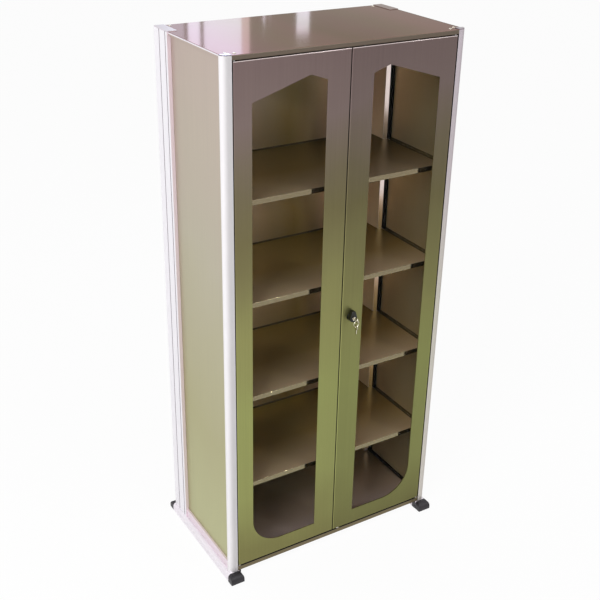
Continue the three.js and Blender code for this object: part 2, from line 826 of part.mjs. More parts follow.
const key = keyShape();
place(lock, 'key', key, nickel, 0, keyBowY, 0);

const wireDrop = keyHoleRadius - keyRingWire - seatGap; // from a bow's middle to the ring that hangs in it
const ringZ = -wireDrop - keyRingRadius;
const ring = bare(new THREE.TorusGeometry(keyRingRadius, keyRingWire, wireSides, ringSteps).rotateX(Math.PI / 2));
place(lock, 'key_ring', ring, nickel, 0, keyBowY, ringZ);
const spareKey = place(lock, 'spare_key', key, nickel, 0, keyBowY, ringZ - keyRingRadius - wireDrop);
spareKey.rotation.x = -Math.PI / 2;

export default cabinet;
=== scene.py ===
"""Looks of the glass door medical cabinet: finishes, softened edges, small trim, light and camera."""

import json
import math

import bmesh
import bpy
from mathutils import Matrix, Vector


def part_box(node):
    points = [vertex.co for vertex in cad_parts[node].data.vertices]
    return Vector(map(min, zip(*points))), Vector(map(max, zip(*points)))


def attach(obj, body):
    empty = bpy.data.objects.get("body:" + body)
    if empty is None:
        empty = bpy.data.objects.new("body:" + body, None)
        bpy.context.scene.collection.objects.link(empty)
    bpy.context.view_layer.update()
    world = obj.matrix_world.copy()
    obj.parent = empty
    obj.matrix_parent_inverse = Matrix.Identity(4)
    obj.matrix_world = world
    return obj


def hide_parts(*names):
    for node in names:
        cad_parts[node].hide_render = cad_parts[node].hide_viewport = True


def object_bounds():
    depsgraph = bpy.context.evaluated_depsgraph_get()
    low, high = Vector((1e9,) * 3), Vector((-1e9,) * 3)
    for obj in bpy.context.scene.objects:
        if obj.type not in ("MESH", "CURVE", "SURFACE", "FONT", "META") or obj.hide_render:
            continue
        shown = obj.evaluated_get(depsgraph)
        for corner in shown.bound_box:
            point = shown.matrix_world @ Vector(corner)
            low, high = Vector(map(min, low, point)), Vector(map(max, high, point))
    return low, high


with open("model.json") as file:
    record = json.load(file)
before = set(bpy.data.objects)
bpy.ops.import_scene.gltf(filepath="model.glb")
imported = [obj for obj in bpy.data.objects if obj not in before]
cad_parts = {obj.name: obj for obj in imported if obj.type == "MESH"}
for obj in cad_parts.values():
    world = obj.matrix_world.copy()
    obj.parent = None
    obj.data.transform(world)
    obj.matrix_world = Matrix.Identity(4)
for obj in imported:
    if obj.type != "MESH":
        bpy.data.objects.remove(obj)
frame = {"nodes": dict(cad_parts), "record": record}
cad_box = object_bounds()
NODES = frame["nodes"]
RECORD = frame["record"]
BODY_OF = {node: body for body, nodes in RECORD["behaviour"]["bodies"].items() for node in nodes}
SIDES = {"left": -1, "right": 1}
LEVELS = range(1, 5)
FRONT, REAR, UP = (0, -1, 0), (0, 1, 0), (0, 0, 1)


# Colours and node helpers
def srgb(red, green, blue):
    """A linear colour from 0 to 255 screen values."""
    def linear(value):
        share = value / 255
        return share / 12.92 if share <= 0.04045 else ((share + 0.055) / 1.055) ** 2.4
    return linear(red), linear(green), linear(blue), 1.0


def add(tree, kind, inputs=None, **settings):
    """A new shader node with its settings, and with its inputs set or linked."""
    node = tree.nodes.new("ShaderNode" + kind)
    for key, value in settings.items():
        setattr(node, key, value)
    for key, value in (inputs or {}).items():
        if isinstance(value, bpy.types.NodeSocket):
            tree.links.new(value, node.inputs[key])
        else:
            node.inputs[key].default_value = value
    return node


def principled(name, **constants):
    """A material with one Principled shader, whose plain values are set on its sockets."""
    material = bpy.data.materials.new(name)
    material.use_nodes = True
    tree = material.node_tree
    tree.nodes.clear()
    shader = add(tree, "BsdfPrincipled", {key.replace("_", " "): value for key, value in constants.items()})
    output = add(tree, "OutputMaterial", {"Surface": shader.outputs["BSDF"]})
    return material, tree, shader, output


def noise(tree, coords, scale, detail, roughness=0.55):
    inputs = {"Vector": coords, "Scale": scale, "Detail": detail, "Roughness": roughness}
    return add(tree, "TexNoise", inputs).outputs["Fac"]


def brush_lines(tree, coords, along, detail):
    """Fine noise, drawn out along one axis."""
    stretched = add(tree, "Mapping", {"Vector": coords, "Scale": GRAIN[along]}).outputs["Vector"]
    return noise(tree, stretched, scale=1.0, detail=detail, roughness=0.6)


def spread(tree, value, low, high, to_low, to_high):
    inputs = {"Value": value, "From Min": low, "From Max": high, "To Min": to_low, "To Max": to_high}
    return add(tree, "MapRange", inputs).outputs["Result"]


def varied(tree, texture, middle, swing):
    """A value that swings about a middle one with a noise texture."""
    return spread(tree, texture, *NOISE_RANGE, middle - swing, middle + swing)


def ramp(tree, value, stops):
    """Colours along a value, from [(place, colour), ...]."""
    node = add(tree, "ValToRGB", {"Fac": value})
    elements = node.color_ramp.elements
    while len(elements) < len(stops):
        elements.new(0.5)
    for element, (place, colour) in zip(elements, stops):
        element.position = place
        element.color = colour
    return node.outputs["Color"]


def scaled(tree, colour, factor):
    return add(tree, "VectorMath", {0: colour, "Scale": factor}, operation="SCALE").outputs["Vector"]


def bump(tree, height, strength, distance):
    return add(tree, "Bump", {"Height": height, "Strength": strength, "Distance": distance}).outputs["Normal"]


def at_level(colour, level):
    """A colour made darker or lighter."""
    return tuple(level * channel for channel in colour[:3]) + (1.0,)


# Materials
GRAZING_TINT = (0.45, 0.42, 0.38, 1.0)
GRAIN = {"x": (2.0, 700.0, 700.0), "y": (700.0, 2.0, 700.0), "z": (700.0, 700.0, 2.0)}
NOISE_RANGE = 0.3, 0.7  # most of a noise texture lies between these
BRUSH_DEPTH = 0.0002
DRIFT_SCALE, DRIFT_SHARE = 2.2, 0.04
CLOUD_STRETCH, CLOUD_SCALE = 0.12, 40.0
SATIN_SWING, SATIN_RELIEF, SATIN_RANGE = 0.05, 0.06, (0.35, 0.65)
MOULDED_SWING, MOULDED_RELIEF = 0.06, 0.25
GLASS_TINT, FILM_TINT = (0.97, 0.97, 0.96, 1.0), (0.95, 0.95, 0.94, 1.0)
FILM_SLANT, FILM_SHARE = (0.5, 1.0), (0.002, 0.3)  # how slanted the view of the glass is, and how much it mirrors
SMEAR_SCALE, SMEAR_RANGE, SMEAR_ROUGHNESS = 6.0, (0.3, 0.8), (0.015, 0.05)


def wire(tree, shader, colour, roughness, normal):
    """Links a shader's colour, roughness and normal."""
    for socket, value in {"Base Color": colour, "Roughness": roughness, "Normal": normal}.items():
        tree.links.new(value, shader.inputs[socket])


def box_share(tree, vector, axis):
    """How far a point is along one axis of the cabinet's box, from nought to one."""
    low, high = (getattr(corner, axis) for corner in cad_box)
    place = add(tree, "SeparateXYZ", {"Vector": vector}).outputs[axis.upper()]
    return spread(tree, place, low, high, 0.0, 1.0)


def front_share(tree):
    """How much a face looks to the front, from nought to one."""
    normal = add(tree, "TexCoord").outputs["Normal"]
    forward = add(tree, "SeparateXYZ", {"Vector": normal}).outputs["Y"]
    return spread(tree, forward, 0.0, -1.0, 0.0, 1.0)


def brushed(name, stops, along, metallic, roughness, over="z", polish=0.07, relief=0.12, painted_light_fade=(1.0, 1.0)):
    """Brushed sheet: a tint that drifts across the cabinet's box or round a bend, on most sheets a painted reflection
    with painted light and shade; a painted light level that falls off across the width; and fine brush lines along
    one axis."""
    material, tree, shader, _ = principled(name, Metallic=metallic, Specular_Tint=GRAZING_TINT)
    coords = add(tree, "TexCoord").outputs["Object"]
    drift = noise(tree, coords, DRIFT_SCALE, detail=2.0)
    lines = brush_lines(tree, coords, along, detail=4.0)
    wander = varied(tree, drift, 0.0, DRIFT_SHARE)
    share = front_share(tree) if over == "front" else box_share(tree, coords, over)
    moved = add(tree, "Math", {0: share, 1: wander}, operation="ADD").outputs["Value"]
    tint = ramp(tree, moved, stops)
    lined = scaled(tree, tint, varied(tree, lines, 1, polish))
    # painted light: the level falls off from one side of the box to the other
    level = spread(tree, box_share(tree, coords, "x"), 0.0, 1.0, *painted_light_fade)
    gloss = varied(tree, lines, roughness, polish)
    wire(tree, shader, scaled(tree, lined, level), gloss, bump(tree, lines, relief, BRUSH_DEPTH))
    return material


def satin(name, colour, metallic, roughness, along="z", contrast=0.03):
    """Drawn or anodised metal with faint lines along its length."""
    material, tree, shader, _ = principled(name, Metallic=metallic)
    coords = add(tree, "TexCoord").outputs["Object"]
    lines = brush_lines(tree, coords, along, detail=3.0)
    clouds = brush_lines(tree, scaled(tree, coords, CLOUD_STRETCH), along, detail=2.0)
    total = add(tree, "Math", {0: lines, 1: clouds}, operation="ADD").outputs["Value"]
    both = add(tree, "Math", {0: total, 1: 0.5}, operation="MULTIPLY").outputs["Value"]
    tint = ramp(tree, both, list(zip(SATIN_RANGE, (at_level(colour, 1 - 2 * contrast), colour))))
    gloss = varied(tree, lines, roughness, SATIN_SWING)
    wire(tree, shader, tint, gloss, bump(tree, lines, SATIN_RELIEF, BRUSH_DEPTH))
    return material


def moulded(name, dark, light, roughness, grain_scale, grain_depth, gloss=0.4):
    """Moulded plastic or rubber with a fine pebble grain."""
    material, tree, shader, _ = principled(name, Specular_IOR_Level=gloss)
    coords = add(tree, "TexCoord").outputs["Object"]
    grain = noise(tree, coords, grain_scale, detail=3.0)
    clouds = noise(tree, coords, CLOUD_SCALE, detail=2.0)
    tint = ramp(tree, clouds, list(zip(NOISE_RANGE, (dark, light))))
    roughened = varied(tree, grain, roughness, MOULDED_SWING)
    wire(tree, shader, tint, roughened, bump(tree, grain, MOULDED_RELIEF, grain_depth))
    return material


def clear_glass(name):
    """Thin sheet glass: clear to light, with a mirror film that grows at glancing angles."""
    material, tree, shader, output = principled(name, Base_Color=FILM_TINT, Metallic=1.0)
    coords = add(tree, "TexCoord").outputs["Object"]
    smear = noise(tree, coords, SMEAR_SCALE, detail=4.0)
    tree.links.new(spread(tree, smear, *SMEAR_RANGE, *SMEAR_ROUGHNESS), shader.inputs["Roughness"])
    clear = add(tree, "BsdfTransparent", {"Color": GLASS_TINT})
    slant = add(tree, "LayerWeight", {"Blend": 0.5}).outputs["Facing"]
    share = spread(tree, slant, *FILM_SLANT, *FILM_SHARE)
    mixed = add(tree, "MixShader", {0: share, 1: clear.outputs["BSDF"], 2: shader.outputs["BSDF"]})
    tree.links.new(mixed.outputs["Shader"], output.inputs["Surface"])
    return material


# Tints of the brushed steel across the cabinet's box or round a bend, most of them painted reflection, light and
# shade
# painted reflection: the doors are olive towards the foot and mauve-brown towards the top
DOOR_STOPS = [
    (0.04, srgb(123, 120, 75)), (0.17, srgb(142, 145, 90)), (0.36, srgb(144, 148, 91)), (0.52, srgb(138, 137, 87)),
    (0.62, srgb(124, 120, 80)), (0.72, srgb(111, 104, 72)), (0.80, srgb(110, 101, 79)), (0.9, srgb(119, 104, 100)),
    (1.0, srgb(112, 95, 94))]
# painted reflection: the side panels are olive towards the foot and pinkish towards the top
SIDE_STOPS = [
    (0.0, srgb(202, 203, 162)), (0.3, srgb(193, 190, 152)), (0.65, srgb(200, 194, 175)), (1.0, srgb(202, 187, 178))]
# painted light: the inner faces of the side panels are lighter towards the back
SIDE_INNER_STOPS = [(0.12, srgb(168, 153, 120)), (0.45, srgb(212, 196, 156)), (0.78, srgb(250, 234, 200))]
# painted shade: the right post is darker and more lilac towards the top
POST_STOPS = [
    (0.0, srgb(206, 200, 194)), (0.5, srgb(198, 194, 182)), (0.75, srgb(190, 181, 185)), (1.0, srgb(190, 180, 187))]
# painted light and shade across the back panel: darker just right of the middle and much lighter towards the right
BACK_STOPS = [
    (0.1, srgb(160, 143, 128)), (0.38, srgb(160, 143, 128)), (0.48, srgb(136, 121, 98)), (0.58, srgb(127, 111, 74)),
    (0.64, srgb(146, 128, 94)), (0.69, srgb(186, 165, 136)), (0.74, srgb(218, 190, 168)), (0.95, srgb(226, 192, 176))]
REAR_STOPS = [(0.0, srgb(164, 162, 128)), (0.5, srgb(160, 152, 128)), (1.0, srgb(158, 145, 136))]
# painted light: the shelves are lighter at the front and darker towards the back
SHELF_STOPS = [(0.16, srgb(204, 182, 152)), (0.5, srgb(152, 132, 82)), (0.9, srgb(118, 104, 46))]
# painted light: the floor tray is pale at the front and darker towards the back
FLOOR_STOPS = [
    (0.1, srgb(250, 230, 234)), (0.35, srgb(206, 186, 172)), (0.6, srgb(158, 144, 118)), (0.9, srgb(116, 106, 80))]
# painted reflection of the warm steel round the columns' inner faces
COLUMN_STOPS = [(0.0, srgb(248, 228, 190)), (0.5, srgb(248, 222, 184)), (1.0, srgb(244, 214, 184))]
FRAME_STOPS = [(0.0, srgb(140, 122, 88)), (1.0, srgb(140, 122, 84))]
EDGE_STOPS = [(0.0, srgb(146, 138, 110)), (1.0, srgb(138, 124, 102))]
SILL_STOPS = [(0.0, srgb(116, 105, 80)), (1.0, srgb(116, 105, 80))]
# painted reflection: pink and brown bands across the top sheet
TOP_STOPS = [
    (0.1, srgb(164, 132, 136)), (0.3, srgb(154, 131, 119)), (0.42, srgb(154, 122, 116)), (0.52, srgb(141, 117, 103)),
    (0.64, srgb(148, 118, 111)), (0.74, srgb(152, 128, 114)), (0.86, srgb(168, 132, 128)), (1.0, srgb(170, 136, 134))]
# painted reflection: the left column cap is pale and the right one darker
CAP_STOPS = [
    (0.0, srgb(226, 218, 226)), (0.4, srgb(226, 218, 226)), (0.6, srgb(160, 142, 137)), (1.0, srgb(160, 142, 137))]
# painted shade: the left post is pale where it looks sideways and greyer where it turns to the front
POST_BEND_STOPS = [
    (0.0, srgb(240, 237, 240)), (0.5, srgb(240, 237, 240)), (0.8, srgb(224, 221, 223)), (1.0, srgb(203, 200, 202))]
# painted shade: the top's front lip and the line down its right edge are darker than the top
LIP_STOPS = [(0.0, srgb(104, 93, 82)), (1.0, srgb(104, 93, 82))]


def painted_light_copy(stops, low, high):
    """The same stops at other levels, one at the start and one at the end, for painted light and painted shade."""
    return [(place, at_level(colour, low + (high - low) * place)) for place, colour in stops]


FINE_BRUSH = {"polish": 0.02, "relief": 0.03}
SOFT_BRUSH = {"polish": 0.03, "relief": 0.05}
POST_BRUSH = {"polish": 0.02, "relief": 0.04}
POLISHED = {"polish": 0.03, "relief": 0.015}
FINISH = {
    # painted light and shade: the left door grows darker across its width, and the right door is a darker copy
    "door_left": brushed("door_steel_left", DOOR_STOPS, "z", 0.75, 0.36, painted_light_fade=(1.14, 0.84)),
    "door_right": brushed("door_steel_right", painted_light_copy(DOOR_STOPS, 0.76, 0.88), "z", 0.75, 0.36),
    # painted highlights: a lighter copy of the door steel on the folds, and a pale satin on the top folds
    "door_edge": brushed("door_edge_steel", painted_light_copy(DOOR_STOPS, 1.45, 1.45), "z", 0.75, 0.3),
    "shaded_edge": brushed("shaded_edge_steel", painted_light_copy(DOOR_STOPS, 0.2, 0.2), "z", 0.3, 0.4),
    "bend": satin("highlight_bend", srgb(226, 212, 210), 0.8, 0.3, along="x", contrast=0.04),
    "side": brushed("side_steel", SIDE_STOPS, "z", 0.75, 0.38),
    "side_inner": brushed("side_inner_steel", SIDE_INNER_STOPS, "z", 0.75, 0.38, over="y", polish=0.04, relief=0.06),
    "top": brushed("top_steel", TOP_STOPS, "x", 0.95, 0.08, over="x", **POLISHED),
    "lip": brushed("lip_steel", LIP_STOPS, "x", 0.75, 0.36),
    "back": brushed("back_steel", BACK_STOPS, "x", 0.6, 0.36, over="x", **SOFT_BRUSH),
    "rear": brushed("rear_steel", REAR_STOPS, "z", 0.75, 0.38),
    "inner": brushed("inner_steel", FRAME_STOPS, "x", 0.6, 0.36),
    # painted light: the last shelf grows darker across its width, and the other shelves are a lighter copy
    "shelf": brushed("shelf_steel", SHELF_STOPS, "x", 0.6, 0.34, over="y", painted_light_fade=(1.2, 0.62), **FINE_BRUSH),
    "shelf_low": brushed("low_shelf_steel", painted_light_copy(SHELF_STOPS, 1.3, 1.3), "x", 0.6, 0.34, over="y", **FINE_BRUSH),
    "floor": brushed("floor_steel", FLOOR_STOPS, "x", 0.6, 0.34, over="y", **FINE_BRUSH),
    "shelf_edge": brushed("shelf_edge_steel", EDGE_STOPS, "x", 0.95, 0.08, **POLISHED),
    "sill": brushed("sill_steel", SILL_STOPS, "x", 0.5, 0.36),
    # painted shadow: a dark brown fill in the joints and gaps round the shelves
    "painted_shadow_fill": moulded("painted_shadow_brown", srgb(64, 54, 30), srgb(78, 67, 40), 0.6, 1200.0, 0.0002, gloss=0.2),
    # painted shade: near black for the shelf bearers and for the rail faces inside the side panels
    "bearer": moulded("bearer_dark_shade", srgb(18, 15, 9), srgb(26, 22, 14), 0.5, 700.0, 0.0002, gloss=0.2),
    # the two posts are painted-light copies of one anodised aluminium: the left shaded by which way a face looks, the
    # right darker
    "post_left": brushed("anodised_post_left", POST_BEND_STOPS, "z", 0.35, 0.36, over="front", **POST_BRUSH),
    "post_right": brushed("anodised_post_right", POST_STOPS, "z", 0.5, 0.36, **POST_BRUSH),
    "column": satin("anodised_column", srgb(240, 237, 242), 0.3, 0.36, contrast=0.015),
    "column_inner": brushed("column_inner", COLUMN_STOPS, "z", 0.1, 0.4, **SOFT_BRUSH),
    "column_front": satin("column_front", srgb(252, 238, 240), 0.1, 0.4),
    "strip": satin("corner_strip", srgb(242, 226, 224), 1.0, 0.2),
    # painted shade: the columns' grooves are darker
    "groove": satin("column_groove", srgb(168, 164, 170), 0.3, 0.4),
    "post_cap": satin("cast_cap", srgb(140, 128, 136), 0.9, 0.2),
    "column_cap": brushed("column_cap", CAP_STOPS, "x", 0.5, 0.3, over="x", **POLISHED),
    "rail": satin("anodised_rail", srgb(236, 230, 237), 0.3, 0.36, along="y", contrast=0.01),
    "side_rail": satin("anodised_side_rail", srgb(230, 214, 223), 0.3, 0.36, along="y", contrast=0.01),
    "cap": moulded("black_cap_plastic", srgb(30, 27, 32), srgb(42, 39, 44), 0.42, 900.0, 0.0003),
    "lever": moulded("lever_plastic", srgb(12, 13, 8), srgb(22, 23, 15), 0.3, 1200.0, 0.00005),
    # real rubber on the window gaskets and corner seals; painted shade on the posts' inner faces and in the gaps
    # under and between the doors
    "rubber": moulded("rubber_and_painted_shade", srgb(12, 10, 10), srgb(20, 17, 17), 0.7, 1500.0, 0.0002, gloss=0.2),
    "nickel": satin("nickel_plate", srgb(222, 216, 200), 1.0, 0.2, along="y", contrast=0.06),
    "zinc": satin("zinc_plate", srgb(172, 174, 176), 0.9, 0.36, contrast=0.08),
    "glass": clear_glass("window_glass"),
}


# Mesh helpers
def new_piece(name, bm, finish, body):
    """A finished piece that rides on a CAD body."""
    mesh = bpy.data.meshes.new(name)
    bm.to_mesh(mesh)
    bm.free()
    piece = bpy.data.objects.new(name, mesh)
    bpy.context.scene.collection.objects.link(piece)
    mesh.materials.append(FINISH[finish])
    piece.modifiers.new("flat_faces", "WEIGHTED_NORMAL").keep_sharp = True
    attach(piece, body)
    return piece


def shade(bm, sharp=50):
    """Smooth faces, with edges sharper than the angle kept crisp."""
    for face in bm.faces:
        face.smooth = True
    for edge in bm.edges:
        edge.smooth = len(edge.link_faces) == 2 and edge.calc_face_angle(0) < math.radians(sharp)


def soften(bm, edges, radius, segments=2):
    """Rounds edges and returns the faces of the bends."""
    bent = bmesh.ops.bevel(bm, geom=edges, offset=radius, offset_type="OFFSET", segments=segments, profile=0.5,
                           affect="EDGES", clamp_overlap=True)
    return bent["faces"]


def welded(node):
    """A node's mesh with its flat faces whole."""
    same_place, same_plane = 1e-6, math.radians(0.3)
    bm = bmesh.new()
    bm.from_mesh(NODES[node].data)
    bmesh.ops.remove_doubles(bm, verts=bm.verts, dist=same_place)
    bmesh.ops.dissolve_limit(bm, angle_limit=same_plane, verts=bm.verts, edges=bm.edges)
    return bm


def sharp_edges(bm):
    sharp = math.radians(40)
    return [edge for edge in bm.edges if len(edge.link_faces) == 2 and edge.calc_face_angle(0) > sharp]


def scored(bm, point, normal):
    """Splits faces along a plane, so that they can take two finishes."""
    bmesh.ops.bisect_plane(bm, geom=[*bm.verts, *bm.edges, *bm.faces], plane_co=point, plane_no=normal)


def looks(face, way):
    """Whether a face looks one way, more or less."""
    enough = 0.7
    return face.normal.dot(Vector(way)) > enough


def inner_face(node):
    """How far a side piece's inner face is from the middle of the cabinet."""
    return min(abs(corner.x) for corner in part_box(node))


def stand_in(node, bm, *finishes):
    """Puts a mesh in a CAD node's place, with one finish for each of its faces' material numbers."""
    shade(bm)
    piece = new_piece(f"{node}_finish", bm, finishes[0], BODY_OF[node])
    for finish in finishes[1:]:
        piece.data.materials.append(FINISH[finish])
    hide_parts(node)


def dress(node, finish, radius=0.0, other=None, facing=FRONT):
    """Stands a softened copy in for a CAD node, with another finish on the faces that look one way."""
    bm = welded(node)
    if radius:
        soften(bm, sharp_edges(bm), radius)
    if other:
        for face in bm.faces:
            face.material_index = int(looks(face, facing))
    stand_in(node, bm, finish, *([other] if other else []))


def dress_door(node, finish):
    """A door skin with rounded folds: painted highlights along the top fold and on its other folds, painted shade on
    its hinge side, and on the left door painted shade on its folds towards the right too."""
    finishes = [finish, "bend", "door_edge", "shaded_edge"]
    fold_radius, edge_radius, turned, near = 0.0022, 0.0003, 0.1, 0.0002
    bm = welded(node)
    low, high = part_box(node)
    on_left = high.x < 0
    folds = [edge for edge in bm.edges if on_fold(edge, low, high)]
    for face in soften(bm, folds, fold_radius, segments=3):
        shaded = on_left and face.normal.x > turned
        look = "bend" if face.normal.z > turned else "shaded_edge" if shaded else "door_edge"
        face.material_index = finishes.index(look)
    soften(bm, sharp_edges(bm), edge_radius)
    hinge_side = low.x if on_left else high.x
    for face in bm.faces:
        if abs(face.calc_center_median().x - hinge_side) < near:
            face.material_index = finishes.index("shaded_edge")
    stand_in(node, bm, *finishes)


def on_fold(edge, low, high):
    """Whether an edge is an outer front edge of a door, where its skin is folded back."""
    near = 1e-5
    a, b = (vertex.co for vertex in edge.verts)
    if max(a.y, b.y) > low.y + near:
        return False
    on_side = any(abs(a.x - x) < near and abs(b.x - x) < near for x in (low.x, high.x))
    on_end = any(abs(a.z - z) < near and abs(b.z - z) < near for z in (low.z, high.z))
    return on_side or on_end


def dress_column(node, inward):
    """A rear column: its inner faces take a painted reflection of the steel round them, and its outer grooves have
    painted shade.
    """
    finishes = ["column", "column_inner", "column_front", "groove", "side_rail"]
    edge_radius, groove_rim, groove_depth = 0.0005, 0.0006, 0.0035
    bm = welded(node)
    soften(bm, sharp_edges(bm), edge_radius)
    outer = max(abs(corner.x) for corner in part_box(node))
    panel_depth = outer - inner_face("side_panel_right")
    for face in bm.faces:
        depth = outer - abs(face.calc_center_median().x)
        look = "column"
        if groove_rim < depth < groove_depth:
            look = "groove"
        elif looks(face, FRONT):
            look = "column_front" if depth > panel_depth else "side_rail"
        elif looks(face, inward):
            look = "column_inner"
        face.material_index = finishes.index(look)
    stand_in(node, bm, *finishes)


def dress_rail(node, finish, line=None):
    """A side rail: painted shade on its faces inside the side panel, and in the panel's tone below a line on its
    outer face.
    """
    finishes = [finish, "bearer", "side"]
    edge_radius = 0.0005
    bm = welded(node)
    soften(bm, sharp_edges(bm), edge_radius)
    if line:
        scored(bm, (0, 0, line), UP)
    inner = inner_face("side_panel_right")
    for face in bm.faces:
        middle = face.calc_center_median()
        look = finish
        if abs(middle.x) < inner:
            look = "bearer"
        elif line and middle.z < line:
            look = "side"
        face.material_index = finishes.index(look)
    stand_in(node, bm, *finishes)


def dress_top(node):
    """The top sheet, with painted shade on its front lip and in a dark line down its right edge."""
    edge_radius, line_width = 0.0004, 0.004
    bm = welded(node)
    soften(bm, sharp_edges(bm), edge_radius)
    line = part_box(node)[1].x - line_width
    scored(bm, (line, 0, 0), (1, 0, 0))
    for face in bm.faces:
        face.material_index = int(looks(face, FRONT) or face.calc_center_median().x > line)
    stand_in(node, bm, "top", "lip")


# Finishes of the CAD pieces
TOP_RAIL_LINE = 1.962  # below this height a top rail has the side panel's tone
for side in SIDES:
    inward = (-SIDES[side], 0, 0)
    dress_door(f"door_skin_{side}", f"door_{side}")
    dress(f"window_glass_{side}", "glass")
    dress(f"window_frame_{side}", "inner", radius=0.0004)
    dress(f"window_gasket_{side}", "rubber", radius=0.0003)
    dress(f"side_panel_{side}", "side", other="side_inner", facing=inward)
    # painted shade: the posts' inner faces, beside the door gaps, take the dark rubber finish
    dress(f"front_post_{side}", f"post_{side}", radius=0.0005, other="rubber", facing=inward)
    dress_column(f"rear_column_{side}", inward)
    dress(f"front_post_cap_{side}", "post_cap", radius=0.0005)
    dress(f"rear_column_cap_{side}", "column_cap", radius=0.0005)
    dress(f"foot_rail_{side}", "rail", radius=0.0005)
    dress_rail(f"side_bottom_rail_{side}", "side_rail")
    dress_rail(f"side_top_rail_{side}", "rail", TOP_RAIL_LINE)
    for end in ("front", "rear"):
        dress(f"foot_cap_{end}_{side}", "cap", radius=0.001)
    for piece in ("pivot_pin", "pivot_block", "pivot_foot"):
        dress(f"{piece}_{side}", "zinc", radius=0.0003)
    for level in LEVELS:
        dress(f"shelf_bearer_{level}_{side}", "bearer", radius=0.0003)

for level in LEVELS:
    dress(f"shelf_{level}", "shelf" if level == LEVELS[-1] else "shelf_low", radius=0.0005, other="shelf_edge")
dress("back_panel", "back", other="rear", facing=REAR)
dress_top("top_panel")
dress("floor_tray", "floor", radius=0.0005, other="sill")
dress("door_catch", "cap", radius=0.001)
dress("lock_rosette", "lever", radius=0.0006)
dress("lock_lever", "lever", radius=0.0028)
for node in ("lock_spindle", "lock_case", "upper_lock_rod", "lower_lock_rod"):
    dress(node, "zinc", radius=0.0002)
for node in ("key_cylinder", "key", "key_ring", "spare_key"):
    dress(node, "nickel", radius=0.0003)


# Trim
TRIM_GAP, CONTACT, SEAT = 0.0003, 0.00005, 0.00002
EASE = 0.6  # how far along a rounded corner its facet starts
AXES = {"x": (1, 2, 0), "y": (0, 2, 1), "z": (0, 1, 2)}
SCREW_SPOTS = ((0.4275, -0.2085), (0.403, -0.2225), (0.405, 0.226))


def extruded(name, profile, along, start, end, body="frame", finish="rubber"):
    """A straight trim strip: a profile of corners across one axis, between two places along it."""
    first, second, third = AXES[along]
    bm = bmesh.new()
    rings = []
    for place in (start, end):
        ring = []
        for corner in profile:
            point = [0.0, 0.0, 0.0]
            point[first], point[second], point[third] = *corner, place
            ring.append(bm.verts.new(point))
        rings.append(ring)
        bm.faces.new(ring)
    for i in range(len(profile)):
        j = (i + 1) % len(profile)
        bm.faces.new((rings[0][i], rings[0][j], rings[1][j], rings[1][i]))
    bmesh.ops.recalc_face_normals(bm, faces=bm.faces)
    shade(bm, sharp=35)
    new_piece(name, bm, finish, body)


def mirrored(profile, side):
    """A profile drawn for the right side, on either side."""
    return [(SIDES[side] * x, other) for x, other in profile]


def bays(side):
    """The heights between the shelves: (bottom, top) of each bay, clear of the shelf bearers."""
    feet = [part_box(f"side_bottom_rail_{side}")[1].z] + [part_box(f"shelf_{level}")[1].z for level in LEVELS]
    heads = [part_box(f"shelf_bearer_{level}_{side}")[0].z for level in LEVELS] + [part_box(f"side_top_rail_{side}")[0].z]
    return [(foot + TRIM_GAP, head - TRIM_GAP) for foot, head in zip(feet, heads)]


def corner_seal(side):
    """A ribbed rubber seal in each bay, along the side panel up to the column."""
    ribs, depth, thickness, groove = 6, 0.026, 0.0062, 0.0006
    inner = inner_face(f"side_panel_{side}") - TRIM_GAP
    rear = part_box(f"rear_column_{side}")[0].y - TRIM_GAP
    crest, valley = inner - thickness, inner - thickness + groove
    step = depth / ribs
    profile = [(inner, rear), (inner, rear - depth)]
    for i in range(ribs):
        foot = rear - depth + i * step
        profile += [(x, foot + share * step) for x, share in ((valley, 0.15), (crest, 0.5), (valley, 0.85))]
    profile.append((valley, rear))
    for number, bay in enumerate(bays(side), 1):
        extruded(f"corner_seal_{number}_{side}", mirrored(profile, side), "z", *bay)


def corner_strip(side):
    """A sloped aluminium strip in each bay on the column's front face, that catches the light beside the seal."""
    width, slope, edge = 0.0138, 0.62, 0.0006
    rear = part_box(f"rear_column_{side}")[0].y - TRIM_GAP
    start = inner_face(f"rear_column_{side}") + edge
    end = start + width
    front = rear - slope * width
    profile = [(start, rear), (start, rear - edge), (end - edge, front), (end, front + edge), (end, rear)]
    for number, bay in enumerate(bays(side), 1):
        extruded(f"corner_strip_{number}_{side}", mirrored(profile, side), "z", *bay, finish="strip")


def sill_shade_strip(side, start, end):
    """A dark flat strip on the sill under a door, with a lip over its front edge: painted shade in the gap under the
    door.
    """
    low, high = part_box("floor_tray")
    front, top = low.y - CONTACT, high.z + CONTACT
    lip, skin, depth, drop = 0.0012, 0.0008, 0.017, 0.0028
    profile = [
        (front, top), (front, top - drop), (front - lip * EASE, top - drop), (front - lip, top - drop * EASE),
        (front - lip, top), (front - lip * (1 - EASE), top + skin), (front + depth, top + skin), (front + depth, top)]
    extruded(f"sill_shade_strip_{side}", profile, "x", start, end)


def sill_shade_strips():
    """Both strips on the sill, clear of the lock rod and the pivots."""
    rod_room, pivot_room = 0.003, 0.001
    rod_low, rod_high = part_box("lower_lock_rod")
    hinge_edge = inner_face("pivot_foot_right") - pivot_room
    sill_shade_strip("left", -hinge_edge, rod_low.x - rod_room)
    sill_shade_strip("right", rod_high.x + rod_room, hinge_edge)


def meeting_shade_strip():
    """A dark bulb strip on the closing edge of the right door: painted shade in the gap between the doors."""
    low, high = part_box("door_skin_right")
    bulb, curve, fold, inset, short = 0.0012, 0.0006, 0.0026, 0.002, 0.003
    edge, front, rear = low.x - CONTACT, low.y + fold, high.y - inset
    profile = [
        (edge, front), (edge - bulb * EASE, front), (edge - bulb, front + curve), (edge - bulb, rear - curve),
        (edge - bulb * EASE, rear), (edge, rear)]
    extruded("meeting_shade_strip", profile, "z", low.z + short, high.z - short, "right_door")


